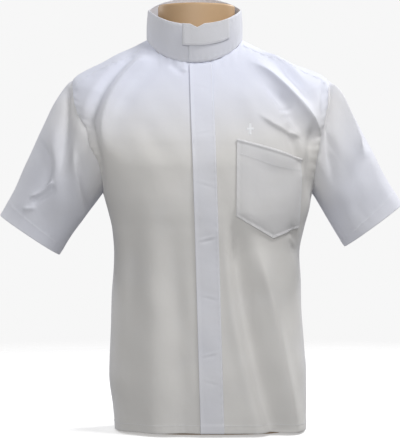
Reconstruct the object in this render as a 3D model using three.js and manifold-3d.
// A short-sleeved clergy shirt with a standing tab collar and a fly front, on the limbless
// torso form that it is shown on. Millimetres, +Z up. The front faces -Y, so the wearer's left
// is +X. The origin is the middle of the form's flat base.
import * as THREE from "three";
import Module from "manifold-3d";

const wasm = await Module();
wasm.setup();

// Cloth
const CLOTH = 2.0; // thickness of every cloth wall
const SEAM_GAP = 0.3; // between two pieces that are sewn edge to edge
const LAY_GAP = 0.35; // between a piece and the cloth that it lies on
const LAYER = CLOTH + LAY_GAP; // how far each further layer lies outside the one below

// Colours
const WHITE_CLOTH = { color: 0xe9e9ee, roughness: 0.85, metalness: 0 };
const TAN_FORM = { color: 0xb79468, roughness: 0.55, metalness: 0 };

const RADIANS = Math.PI / 180;
const FRONT = -90 * RADIANS; // angles run round the body from the wearer's left side to the back
const TURN = 360 * RADIANS;

// Rings of the body, from hem to neckline. side, front and back are a ring's heights at its
// sides, centre front and centre back, and side also names the ring: its level. right, left,
// chest and rear are how far it reaches to the wearer's right and left, forward and back.
// square is 2 for an ellipse and more for a squarer ring.
const BODY = [
  { side: 3, front: 7, back: 4, right: -165, left: 176, chest: 119, rear: 104, square: 2.6 },
  { side: 45, front: 48, back: 46, right: -169, left: 177, chest: 121, rear: 106, square: 2.6 },
  { side: 103, front: 104, back: 103, right: -176, left: 178, chest: 122, rear: 108, square: 2.6 },
  { side: 160, front: 160, back: 160, right: -174, left: 173, chest: 122, rear: 108, square: 2.6 },
  { side: 232, front: 232, back: 232, right: -171, left: 169, chest: 122, rear: 107, square: 2.6 },
  { side: 319, front: 319, back: 319, right: -167, left: 166, chest: 125, rear: 109, square: 2.7 },
  { side: 362, front: 362, back: 362, right: -170, left: 174, chest: 129, rear: 113, square: 2.8 },
  { side: 391, front: 390, back: 391, right: -176, left: 182, chest: 132, rear: 116, square: 2.9 },
  { side: 422, front: 419, back: 423, right: -186, left: 188, chest: 133, rear: 119, square: 3 },
  { side: 475, front: 466, back: 478, right: -213, left: 204, chest: 133, rear: 122, square: 2.9 },
  { side: 530, front: 509, back: 533, right: -242, left: 221, chest: 126, rear: 121, square: 2.8 },
  { side: 585, front: 548, back: 588, right: -248, left: 224, chest: 112, rear: 114, square: 2.8 },
  { side: 628, front: 584, back: 633, right: -241, left: 216, chest: 97, rear: 103, square: 2.5 },
  { side: 664, front: 619, back: 680, right: -182, left: 139, chest: 79, rear: 86, square: 2.2 },
  { side: 700, front: 654, back: 722, right: -108, left: 63, chest: 60, rear: 63, square: 2.1 },
];
const RING_DIP = 1.5; // how a ring's height runs from its side to its front: a power of its reach
const HEM = 3;
const NECKLINE = 700;

// Each armhole is an oval on the body's side, and the yoke's two seams end on it. side is +1 for
// the wearer's left.
const ARMHOLE_LEVELS = { bottom: 425, top: 628 };
const RIGHT_ARMHOLE = { side: -1, halfAngle: 38 * RADIANS };
const LEFT_ARMHOLE = { side: 1, halfAngle: 33 * RADIANS };
const YOKE_SHARE = 0.58; // the yoke's seams leave the oval at this share of its half angle

// The fly front: its free edge is on the wearer's right, its stitched edge on the left. Shares
// run across it from the free edge, and the two fronts meet under it.
const PLACKET = { freeTop: -31, freeHem: -11, width: 40 };
const FRONT_JOINT = 0.9;
const PLACKET_SHARES = [0, 0.3, 0.6, FRONT_JOINT, 1];

// The largest creases, as seen from the front or back: from one end to the other with a sideways
// bow, the width of each end, and the height of the ridge, or depth of the trough if negative.
const FOLDS = [
  { face: -1, from: [-122, 668], to: [-204, 510], bow: 26, width: [12, 15], height: -6 },
  { face: -1, from: [-92, 640], to: [-180, 508], bow: 22, width: [18, 18], height: 4 },
  { face: -1, from: [56, 656], to: [192, 514], bow: -9, width: [14, 14], height: 6 },
  { face: -1, from: [60, 616], to: [176, 494], bow: -14, width: [16, 14], height: -5 },
  { face: -1, from: [124, 640], to: [192, 560], bow: -8, width: [14, 14], height: -4 },
  { face: -1, from: [54, 376], to: [132, 8], bow: 8, width: [15, 22], height: -11 },
  { face: -1, from: [36, 400], to: [92, 8], bow: 6, width: [15, 24], height: 5 },
  { face: -1, from: [112, 330], to: [166, 60], bow: 8, width: [18, 24], height: 6 },
  { face: -1, from: [-128, 430], to: [-132, 8], bow: 4, width: [20, 28], height: -4 },
  { face: -1, from: [-92, 400], to: [-88, 8], bow: 0, width: [26, 34], height: 4 },
  { face: -1, from: [-48, 330], to: [-36, 8], bow: 4, width: [18, 24], height: -5 },
  { face: 1, from: [-90, 560], to: [-128, 8], bow: -8, width: [22, 30], height: 6 },
  { face: 1, from: [-40, 480], to: [-52, 8], bow: 6, width: [22, 28], height: -6 },
  { face: 1, from: [22, 520], to: [28, 8], bow: -6, width: [22, 30], height: 6 },
  { face: 1, from: [86, 590], to: [92, 8], bow: 8, width: [22, 28], height: -6 },
  { face: 1, from: [130, 470], to: [140, 8], bow: 6, width: [20, 24], height: 5 },
];
const FOLD_FADE = 0.25; // folds fade out over this share of the body's depth, next to its sides

// Sleeves: the two corners of the flat-seen hem, the hem's depth, and the way the cloth sets off
// from the armhole at the armpit and at the shoulder point, for the wearer's left side.
const SLEEVES = [
  { name: "sleeve_right", hole: RIGHT_ARMHOLE, inner: [-266, 315], outer: [-372, 386], depth: 50 },
  { name: "sleeve_left", hole: LEFT_ARMHOLE, inner: [248, 330], outer: [351, 406], depth: 50 },
];
const SLEEVE_START = {
  armpit: { way: [0.62, -0.78], pull: 0.55 },
  point: { way: [0.96, -0.28], pull: 0.4 },
  forward: 0.3,
};
const SLEEVE_END_PULL = 0.9; // pulls are the lengths of the end tangents, as shares of the run
const SLEEVE_GAP = 0.5; // between the sleeve's first ring and the armhole's edge
const SLEEVE_FOLDS = [
  { face: -1, from: [-246, 600], to: [-236, 400], bow: 6, width: [12, 16], height: -5 },
  { face: -1, from: [-292, 540], to: [-286, 400], bow: -14, width: [22, 24], height: -4 },
  { face: -1, from: [-262, 520], to: [-256, 360], bow: -4, width: [14, 18], height: 3 },
  { face: -1, from: [218, 612], to: [222, 450], bow: 4, width: [12, 14], height: -6 },
  { face: -1, from: [236, 612], to: [300, 470], bow: -8, width: [13, 15], height: 5 },
  { face: -1, from: [262, 480], to: [270, 380], bow: 6, width: [18, 20], height: -3 },
  { face: 1, from: [-246, 590], to: [-262, 400], bow: -6, width: [14, 16], height: -5 },
  { face: 1, from: [222, 590], to: [240, 400], bow: 6, width: [14, 16], height: -5 },
];

// The standing collar: its rim's reach and heights, and the small V at the rim's front.
const RIM = {
  side: 754, front: 720, back: 782, right: -106, left: 62, chest: 72, rear: 51, square: 2.1,
};
const RIM_NOTCH = { x: -17.6, halfWidth: 12, depth: 6 };
const BAND_SEAT = { out: 0.5, up: 0.8 }; // the band stands this far outside and above the neckline
const BAND_CLIMB = [18, 52]; // x between which the upper end climbs onto the covered end
// Where the strip's columns lie at its covered end and at the end on top of it, as x at the rim
const UNDER_COLUMNS = [4, -5.6, -11.6, -17.6, -23.6, -31, -42];
const OVER_COLUMNS = [37, 26, 15, 5, -5.6, -11.6, -17.6, -23.6, -31];
const TAB = { end: -42, low: 0.44 }; // closing flap: x of its end, lower edge up the band

// The chest pocket's corners, as seen from the front.
const POCKET = [[51, 516], [50, 383], [114, 345], [160, 364], [166, 483]];

// The torso form inside: how far it lies inside the body's rings, and its neck.
const FORM_INSET = [
  { level: 3, inset: 34 },
  { level: 120, inset: 28 },
  { level: 250, inset: 28 },
  { level: 340, inset: 24 },
  { level: 422, inset: 17 },
  { level: 530, inset: 15 },
  { level: 590, inset: 10 },
  { level: 628, inset: 6.5 },
  { level: 660, inset: 5 },
  { level: 690, inset: 4.6 },
];
const FORM_FRONT_CLEAR = 6; // further inset at the front of the chest, under the creases
const FORM_NECK = { x: -19, halfWidth: 69, front: 52, back: 44, foot: 704, top: 762, edge: 4 };

// Mesh fineness
const FRONT_COLUMNS = 15; // between the side and the placket
const BACK_COLUMNS = 18;
const SKIRT_ROWS = 13; // hem to armpit
const ARMHOLE_ROWS = 13; // armpit to yoke seam
const YOKE_ARMHOLE_STEPS = 4; // yoke seam to shoulder point
const SHOULDER_SHARES = [0, 0.25, 0.5, 0.75, 0.95, 1]; // of the way from the yoke seam to the neck
const YOKE_BACK_COLUMNS = 18;
const SLEEVE_ROWS = 10;
const BAND_COLUMNS = 30; // round the neck, between the two ends' own columns
const FORM_COLUMNS = 36;

const mix = (a, b, t) => a + (b - a) * t;
const clamp01 = (t) => Math.min(1, Math.max(0, t));
const smooth = (t) => clamp01(t) ** 2 * (3 - 2 * clamp01(t));
const steps = (count) => Array.from({ length: count + 1 }, (_, i) => i / count);

// A column of a table at a level, by a cubic that never overshoots its rows.
function tableValue(table, key, column, at) {
  const last = table.length - 1;
  const x = table.map((row) => row[key]);
  const y = table.map((row) => row[column]);
  if (at <= x[0]) return y[0];
  if (at >= x[last]) return y[last];
  const rise = (i) => (y[i + 1] - y[i]) / (x[i + 1] - x[i]);
  const slope = (i) => {
    if (i === 0) return rise(0);
    if (i === last) return rise(last - 1);
    const [before, after] = [rise(i - 1), rise(i)];
    return before * after <= 0 ? 0 : (2 * before * after) / (before + after);
  };
  const i = x.findIndex((value) => value > at) - 1;
  const width = x[i + 1] - x[i];
  const t = (at - x[i]) / width;
  return (
    y[i] * (1 + 2 * t) * (1 - t) ** 2 +
    y[i + 1] * t ** 2 * (3 - 2 * t) +
    width * (slope(i) * t * (1 - t) ** 2 - slope(i + 1) * t ** 2 * (1 - t))
  );
}

const ringCache = new Map();
function ring(level) {
  if (!ringCache.has(level)) {
    const made = { side: level };
    for (const column of ["front", "back", "right", "left", "chest", "rear", "square"]) {
      made[column] = tableValue(BODY, "side", column, level);
    }
    ringCache.set(level, made);
  }
  return ringCache.get(level);
}

// A point of a ring: across and forward are its share of the ring's half width and depth.
function ringPoint(r, angle) {
  const [c, s] = [Math.cos(angle), Math.sin(angle)];
  const share = (Math.abs(c) ** r.square + Math.abs(s) ** r.square) ** (-1 / r.square);
  const [across, forward] = [c * share, s * share];
  const end = forward < 0 ? r.front : r.back;
  return new THREE.Vector3(
    (r.left + r.right) / 2 + ((r.left - r.right) / 2) * across,
    (forward < 0 ? r.chest : r.rear) * forward,
    r.side + (end - r.side) * Math.abs(forward) ** RING_DIP,
  );
}

// The angle at which the front half of a ring has the given x.
function frontAngle(r, x) {
  const across = (x - (r.left + r.right) / 2) / ((r.left - r.right) / 2);
  return Math.atan2(-((1 - Math.abs(across) ** r.square) ** (1 / r.square)), across);
}

function bodyNormal(level, angle) {
  const [dLevel, dAngle] = [0.4, 0.004];
  const [low, high] = [Math.max(HEM, level - dLevel), Math.min(NECKLINE, level + dLevel)];
  const up = ringPoint(ring(high), angle).sub(ringPoint(ring(low), angle));
  const around = ringPoint(ring(level), angle + dAngle).sub(ringPoint(ring(level), angle - dAngle));
  return around.cross(up).normalize();
}

// Height of the creases at a point seen from the front (face -1) or the back (face 1).
function creases(folds, face, x, z) {
  let height = 0;
  for (const fold of folds.filter((f) => f.face === face)) {
    const [dx, dz] = [fold.to[0] - fold.from[0], fold.to[1] - fold.from[1]];
    const length = Math.hypot(dx, dz);
    const along = ((x - fold.from[0]) * dx + (z - fold.from[1]) * dz) / length ** 2;
    const t = clamp01(along);
    const aside =
      ((x - fold.from[0]) * dz - (z - fold.from[1]) * dx) / length - fold.bow * 4 * t * (1 - t);
    const beyond = ((along - t) * length) / fold.width[0];
    const across = aside / mix(fold.width[0], fold.width[1], t);
    const fade = smooth(t / 0.3) * smooth((1 - t) / 0.18 + (fold.to[1] < 20 ? 1 : 0));
    height += fold.height * fade * Math.exp(-(across ** 2) - beyond ** 2);
  }
  return height;
}

// A point on the shirt's body, lifted along the body's normal. Lift 0 is the cloth's outside.
function bodyPoint(level, angle, lift) {
  const p = ringPoint(ring(level), angle);
  const r = ring(level);
  const forward = p.y / (p.y < 0 ? r.chest : r.rear);
  const fade = smooth(Math.abs(forward) / FOLD_FADE);
  const crease = fade * creases(FOLDS, Math.sign(forward), p.x, p.z);
  return p.addScaledVector(bodyNormal(level, angle), crease + lift);
}

// A closed wall between a grid of outer points and a grid of inner points. With around, each row
// closes on itself, so that only the first and last rows have an edge.
function wall(name, outer, inner, { around = false, look = WHITE_CLOTH } = {}) {
  const [rows, columns] = [outer.length, outer[0].length];
  const position = [...outer.flat(), ...inner.flat()].flatMap((p) => p.toArray());
  const at = (layer, i, j) => (layer * rows + i) * columns + (j % columns);
  const index = [];
  const quad = (a, b, c, d) => index.push(a, b, c, a, c, d);
  const spans = around ? columns : columns - 1;
  for (let i = 0; i < rows - 1; i++) {
    for (let j = 0; j < spans; j++) {
      quad(at(0, i, j), at(0, i, j + 1), at(0, i + 1, j + 1), at(0, i + 1, j));
      quad(at(1, i, j), at(1, i + 1, j), at(1, i + 1, j + 1), at(1, i, j + 1));
    }
  }
  for (let j = 0; j < spans; j++) {
    quad(at(0, 0, j + 1), at(0, 0, j), at(1, 0, j), at(1, 0, j + 1));
    quad(at(0, rows - 1, j), at(0, rows - 1, j + 1), at(1, rows - 1, j + 1), at(1, rows - 1, j));
  }
  for (let i = 0; i < rows - 1 && !around; i++) {
    quad(at(0, i, 0), at(0, i + 1, 0), at(1, i + 1, 0), at(1, i, 0));
    const j = columns - 1;
    quad(at(0, i + 1, j), at(0, i, j), at(1, i, j), at(1, i + 1, j));
  }
  return closedMesh(name, position, index, look);
}

// A named mesh from points and triangles, turned so that its faces point out.
function closedMesh(name, position, index, look) {
  const geometry = new THREE.BufferGeometry();
  geometry.setAttribute("position", new THREE.Float32BufferAttribute(position, 3));
  if (signedVolume(position, index) < 0) index.reverse();
  geometry.setIndex(index);
  geometry.computeVertexNormals();
  const mesh = new THREE.Mesh(geometry, new THREE.MeshStandardMaterial(look));
  mesh.name = name;
  return mesh;
}

function signedVolume(position, index) {
  const corner = (i) => new THREE.Vector3().fromArray(position, index[i] * 3);
  let volume = 0;
  for (let i = 0; i < index.length; i += 3) {
    volume += corner(i).dot(corner(i + 1).cross(corner(i + 2))) / 6;
  }
  return volume;
}

// A wall of body cloth from a grid of places, with its outside at the given lift.
function bodyWall(name, places, lift = 0) {
  const layer = (depth) =>
    places.map((row) => row.map(({ level, angle }) => bodyPoint(level, angle, lift - depth)));
  return wall(name, layer(0), layer(CLOTH));
}

// Stations on an armhole, counted from the armpit over the front to the shoulder point. The
// rows of the fronts and back, the yoke's columns and the sleeve's ring all use them.
const yokeStation = Math.PI - Math.asin(YOKE_SHARE);
const armholeStations = [
  ...steps(ARMHOLE_ROWS).map((t) => t * yokeStation),
  ...steps(YOKE_ARMHOLE_STEPS)
    .slice(1)
    .map((t) => mix(yokeStation, Math.PI, t)),
];
const ANGLE_REACH = 130; // about how many millimetres of seam one radian of angle covers
const seamAngle = (SEAM_GAP * 0.6) / ANGLE_REACH;

function armholePlace(hole, station, grow = 0) {
  const { bottom, top } = ARMHOLE_LEVELS;
  return {
    level: (top + bottom) / 2 - ((top - bottom) / 2 + grow) * Math.cos(station),
    angle: (hole.halfAngle + grow / ANGLE_REACH) * Math.sin(station),
  };
}
const yokeLevel = armholePlace(RIGHT_ARMHOLE, yokeStation).level;

// A place's angle from the shoulder ridge, forwards if negative, as an angle round the body.
const aroundBody = (hole, angle) => (hole.side > 0 ? angle : Math.PI - angle);

// Rows of the body from hem to yoke seam: where each ends at the side seam or armhole, and its
// level in the middle of the body. Above the armpit the rows fan out from the armhole.
function sideRows(hole) {
  const skirt = steps(SKIRT_ROWS).slice(0, -1);
  const levels = skirt.map((t) => mix(HEM, ARMHOLE_LEVELS.bottom, t));
  return [
    ...levels.map((level) => ({ level, angle: seamAngle, middle: level })),
    ...armholeStations.slice(0, ARMHOLE_ROWS + 1).map((station, i) => {
      const { level, angle } = armholePlace(hole, station);
      const middle = mix(ARMHOLE_LEVELS.bottom, yokeLevel, i / ARMHOLE_ROWS);
      return { level, angle: Math.max(seamAngle, angle), middle };
    }),
  ];
}

// The fronts' rows go on along the yoke seam to the neckline.
function frontRows(hole) {
  const seam = hole.halfAngle * YOKE_SHARE + seamAngle;
  const shoulder = SHOULDER_SHARES.slice(1).map((t) => mix(yokeLevel, NECKLINE, t));
  return [...sideRows(hole), ...shoulder.map((level) => ({ level, angle: seam, middle: level }))];
}

// The place at a level, under the given share of the placket's width.
function placketPlace(level, share, gap = 0) {
  const free = mix(PLACKET.freeHem, PLACKET.freeTop, (level - HEM) / (NECKLINE - HEM));
  return { level, angle: frontAngle(ring(level), free + PLACKET.width * share + gap) };
}

// A front's places, from the side seam to the near edge of the placket and on to the joint.
function frontPlaces(hole, shares, jointGap) {
  return frontRows(hole).map(({ level, angle, middle }) => {
    const side = { level, angle: hole.side > 0 ? -angle : angle - Math.PI };
    const near = placketPlace(middle, shares[0]);
    return [
      ...steps(FRONT_COLUMNS).map((u) => ({
        level: mix(side.level, near.level, u),
        angle: mix(side.angle, near.angle, u),
      })),
      ...shares.slice(1).map((share, i, rest) =>
        placketPlace(middle, share, i === rest.length - 1 ? jointGap : 0),
      ),
    ];
  });
}
const rightFront = frontPlaces(RIGHT_ARMHOLE, PLACKET_SHARES.slice(0, -1), -SEAM_GAP / 2);
const leftFront = frontPlaces(LEFT_ARMHOLE, PLACKET_SHARES.slice(-2).reverse(), SEAM_GAP / 2);

function back() {
  const rightRows = sideRows(RIGHT_ARMHOLE);
  const places = sideRows(LEFT_ARMHOLE).map(({ level, angle, middle }, i) =>
    steps(BACK_COLUMNS).map((u) => ({
      level: mix(level, middle, Math.sin(Math.PI * u)),
      angle: mix(angle, Math.PI - rightRows[i].angle, u),
    })),
  );
  return bodyWall("back", places);
}

// The yoke's columns run from its outer edge (armhole, then back seam) to the neckline.
function yoke() {
  const seam = yokeLevel + SEAM_GAP;
  const arm = (hole) => {
    const front = armholeStations.slice(ARMHOLE_ROWS).map((s) => armholePlace(hole, s));
    const rear = front.slice(0, -1).reverse();
    const columns = [...front.map((p) => ({ ...p, angle: -p.angle })), ...rear];
    columns[0] = { ...columns[0], angle: columns[0].angle + 2 * seamAngle };
    return columns.map((p) => ({ level: p.level, angle: aroundBody(hole, p.angle) }));
  };
  const [left, right] = [arm(LEFT_ARMHOLE), arm(RIGHT_ARMHOLE).reverse()];
  const rear = steps(YOKE_BACK_COLUMNS)
    .slice(1, -1)
    .map((t) => ({ angle: mix(left.at(-1).angle, right[0].angle, t), level: seam }));
  const columns = [...left, ...rear, ...right];
  const places = SHOULDER_SHARES.map((t) =>
    columns.map(({ level, angle }) => ({ level: mix(Math.max(level, seam), NECKLINE, t), angle })),
  );
  return bodyWall("yoke", places);
}

// The placket is made from the fronts' own points under it, moved out.
function placket() {
  const levels = frontRows(LEFT_ARMHOLE).map((row) => row.middle).slice(0, -1);
  const places = levels.map((level) => PLACKET_SHARES.map((share) => placketPlace(level, share)));
  return bodyWall("placket", places, LAYER);
}

// The pocket is the left front moved out and cut to the pocket's shape.
function pocket() {
  const cover = bodyWall("pocket", leftFront, LAYER);
  const shape = wasm.Manifold.extrude([POCKET], 200).rotate([90, 0, 0]);
  const { vertProperties, triVerts } = solidOf(cover).intersect(shape).getMesh();
  return closedMesh("pocket", [...vertProperties], [...triVerts], WHITE_CLOTH);
}

function solidOf(mesh) {
  const { attributes, index } = mesh.geometry;
  return wasm.Manifold.ofMesh(
    new wasm.Mesh({
      numProp: 3,
      vertProperties: new Float32Array(attributes.position.array),
      triVerts: new Uint32Array(index.array),
    }),
  );
}

// A sleeve runs from its ring of armhole stations to its hem ring. Each station's line is a
// Hermite curve that sets off along the shoulder or armpit and arrives along the sleeve.
function sleeve({ name, hole, inner, outer, depth }) {
  const rear = armholeStations.slice(1, -1).map((station) => TURN - station);
  const starts = [...armholeStations, ...rear.reverse()].map((station) => {
    const { level, angle } = armholePlace(hole, station, -SLEEVE_GAP);
    return { station, level, angle: aroundBody(hole, -angle) };
  });
  const [x, z] = [0, 1].map((k) => (inner[k] + outer[k]) / 2);
  const [halfX, halfZ] = [0, 1].map((k) => (inner[k] - outer[k]) / 2);
  const axis = new THREE.Vector3(-halfZ, 0, halfX).normalize();
  if (axis.z > 0) axis.negate();
  const { armpit, point, forward } = SLEEVE_START;
  const run = ({ station, level, angle }, s) => {
    const [c, f] = [Math.cos(station), Math.sin(station)];
    const start = bodyPoint(level, angle, 0);
    const end = new THREE.Vector3(x + halfX * c, -depth * f, z + halfZ * c);
    const over = (1 - c) / 2;
    const set = new THREE.Vector3(
      hole.side * mix(armpit.way[0], point.way[0], over),
      -forward * f,
      mix(armpit.way[1], point.way[1], over),
    ).normalize();
    const pull = mix(armpit.pull, point.pull, over);
    const length = start.distanceTo(end);
    return start
      .multiplyScalar((1 + 2 * s) * (1 - s) ** 2)
      .addScaledVector(end, s ** 2 * (3 - 2 * s))
      .addScaledVector(set, pull * length * s * (1 - s) ** 2)
      .addScaledVector(axis, -SLEEVE_END_PULL * length * s ** 2 * (1 - s));
  };
  const rows = steps(SLEEVE_ROWS).map((t) => t ** 1.2);
  const plain = rows.map((s) => starts.map((start) => run(start, s)));
  const outward = (i, j) => {
    const count = starts.length;
    const along = run(starts[j], rows[i]).sub(run(starts[j], rows[i] - 0.01));
    const around = plain[i][(j + 1) % count].clone().sub(plain[i][(j + count - 1) % count]);
    return along.cross(around).normalize().multiplyScalar(hole.side);
  };
  const layer = (cloth) =>
    rows.map((s, i) =>
      starts.map(({ level, angle }, j) => {
        const p = plain[i][j].clone();
        if (i === 0) return p.addScaledVector(bodyNormal(level, angle), -cloth);
        const fade = smooth(Math.abs(p.y) / (depth * 0.6)) * smooth(s / 0.12);
        const crease = fade * creases(SLEEVE_FOLDS, Math.sign(p.y), p.x, p.z);
        return p.addScaledVector(outward(i, j), crease - cloth);
      }),
    );
  return wall(name, layer(0), layer(CLOTH), { around: true });
}

// A point of the standing collar: height 0 is its foot on the neckline and 1 its rim.
function bandPoint(angle, height, lift) {
  const [before, after] = [ringPoint(RIM, angle - 0.01), ringPoint(RIM, angle + 0.01)];
  const out = new THREE.Vector3(after.y - before.y, before.x - after.x, 0).normalize();
  const foot = ringPoint(ring(NECKLINE), angle).addScaledVector(out, BAND_SEAT.out);
  foot.z += BAND_SEAT.up;
  const rim = ringPoint(RIM, angle);
  const aside = Math.abs(rim.x - RIM_NOTCH.x) / RIM_NOTCH.halfWidth;
  const notch = rim.y < 0 ? (RIM_NOTCH.depth / (rim.z - foot.z)) * Math.max(0, 1 - aside) : 0;
  const up = height - notch * smooth((height - 0.6) / 0.4);
  return foot.lerp(rim, up).addScaledVector(out, lift);
}
const rimAngle = (x) => frontAngle(RIM, x);
const bandLift = (x) => LAYER * (1 - smooth((x - BAND_CLIMB[0]) / (BAND_CLIMB[1] - BAND_CLIMB[0])));

// The neckband is one strip: from its covered end, round the wearer's right side and the back,
// to the end that laps over it at the front.
function neckband() {
  const under = UNDER_COLUMNS.map((x) => ({ angle: rimAngle(x), lift: 0 }));
  const [from, to] = [rimAngle(UNDER_COLUMNS.at(-1)), rimAngle(OVER_COLUMNS[0]) - TURN];
  const round = steps(BAND_COLUMNS)
    .slice(1, -1)
    .map((t) => mix(from, to, t))
    .map((angle) => ({ angle, lift: angle < -TURN ? bandLift(ringPoint(RIM, angle).x) : 0 }));
  const over = OVER_COLUMNS.map((x) => ({ angle: rimAngle(x), lift: bandLift(x) }));
  const columns = [...under, ...round, ...over];
  const layer = (depth) =>
    steps(3).map((height) => columns.map((c) => bandPoint(c.angle, height, c.lift - depth)));
  return wall("neckband", layer(0), layer(CLOTH));
}

// The flap that closes the collar is the upper part of the band's front, moved out.
function collarTab() {
  const columns = [TAB.end, ...OVER_COLUMNS.toReversed()];
  const layer = (depth) =>
    steps(3).map((v) =>
      columns.map((x) => bandPoint(rimAngle(x), mix(TAB.low, 1, v), bandLift(x) + LAYER - depth)),
    );
  return wall("collar_tab", layer(0), layer(CLOTH));
}

// The torso form: the body's rings moved inwards, then the neck, closed by flat ends.
function torsoForm() {
  const turn = steps(FORM_COLUMNS).slice(0, -1);
  const skirt = [HEM, 60, 120, 185, 250, 300, 350, 395, 425, 450, 475, 500, 530, 560, 580, 597];
  const shoulder = [610, 619, 628, 637, 646, 655, 664, 674, 685, 695];
  const rings = [...skirt, ...shoulder].map((level) =>
    turn.map((u) => {
      const p = ringPoint(ring(level), u * TURN);
      const clear = FORM_FRONT_CLEAR * Math.max(0, -p.y / ring(level).chest);
      const inset = tableValue(FORM_INSET, "level", "inset", level) + clear;
      return p.addScaledVector(bodyNormal(level, u * TURN), -inset);
    }),
  );
  rings[0].forEach((p) => (p.z = 0));
  const { x, halfWidth, front, back: rear, foot, top, edge } = FORM_NECK;
  const neck = ring(NECKLINE);
  const neckRing = (z, shrink) =>
    turn.map((u) => {
      const [c, s] = [Math.cos(u * TURN), Math.sin(u * TURN)];
      const depth = (s < 0 ? front : rear) - shrink;
      const dip = ((s < 0 ? neck.front : neck.back) - NECKLINE) * Math.abs(s) ** RING_DIP;
      const level = clamp01((top - edge - z) / (top - edge - foot));
      return new THREE.Vector3(x + (halfWidth - shrink) * c, depth * s, z + dip * level);
    });
  rings.push(neckRing(foot, -3), neckRing(foot + 14, 0), neckRing(top - edge, 0));
  rings.push(neckRing(top, edge));
  const count = turn.length;
  const index = [];
  for (let i = 0; i < rings.length - 1; i++) {
    for (let j = 0; j < count; j++) {
      const [a, b] = [i * count + j, i * count + ((j + 1) % count)];
      index.push(a, b, b + count, a, b + count, a + count);
    }
  }
  const last = (rings.length - 1) * count;
  for (let j = 1; j < count - 1; j++) index.push(0, j + 1, j, last, last + j, last + j + 1);
  return closedMesh("torso_form", rings.flat().flatMap((p) => p.toArray()), index, TAN_FORM);
}

const shirt = new THREE.Group();
shirt.name = "clergy_shirt";
shirt.add(bodyWall("front_right", rightFront), bodyWall("front_left", leftFront), back(), yoke());
shirt.add(placket(), pocket(), ...SLEEVES.map(sleeve), neckband(), collarTab());
shirt.add(torsoForm());

export default shirt;
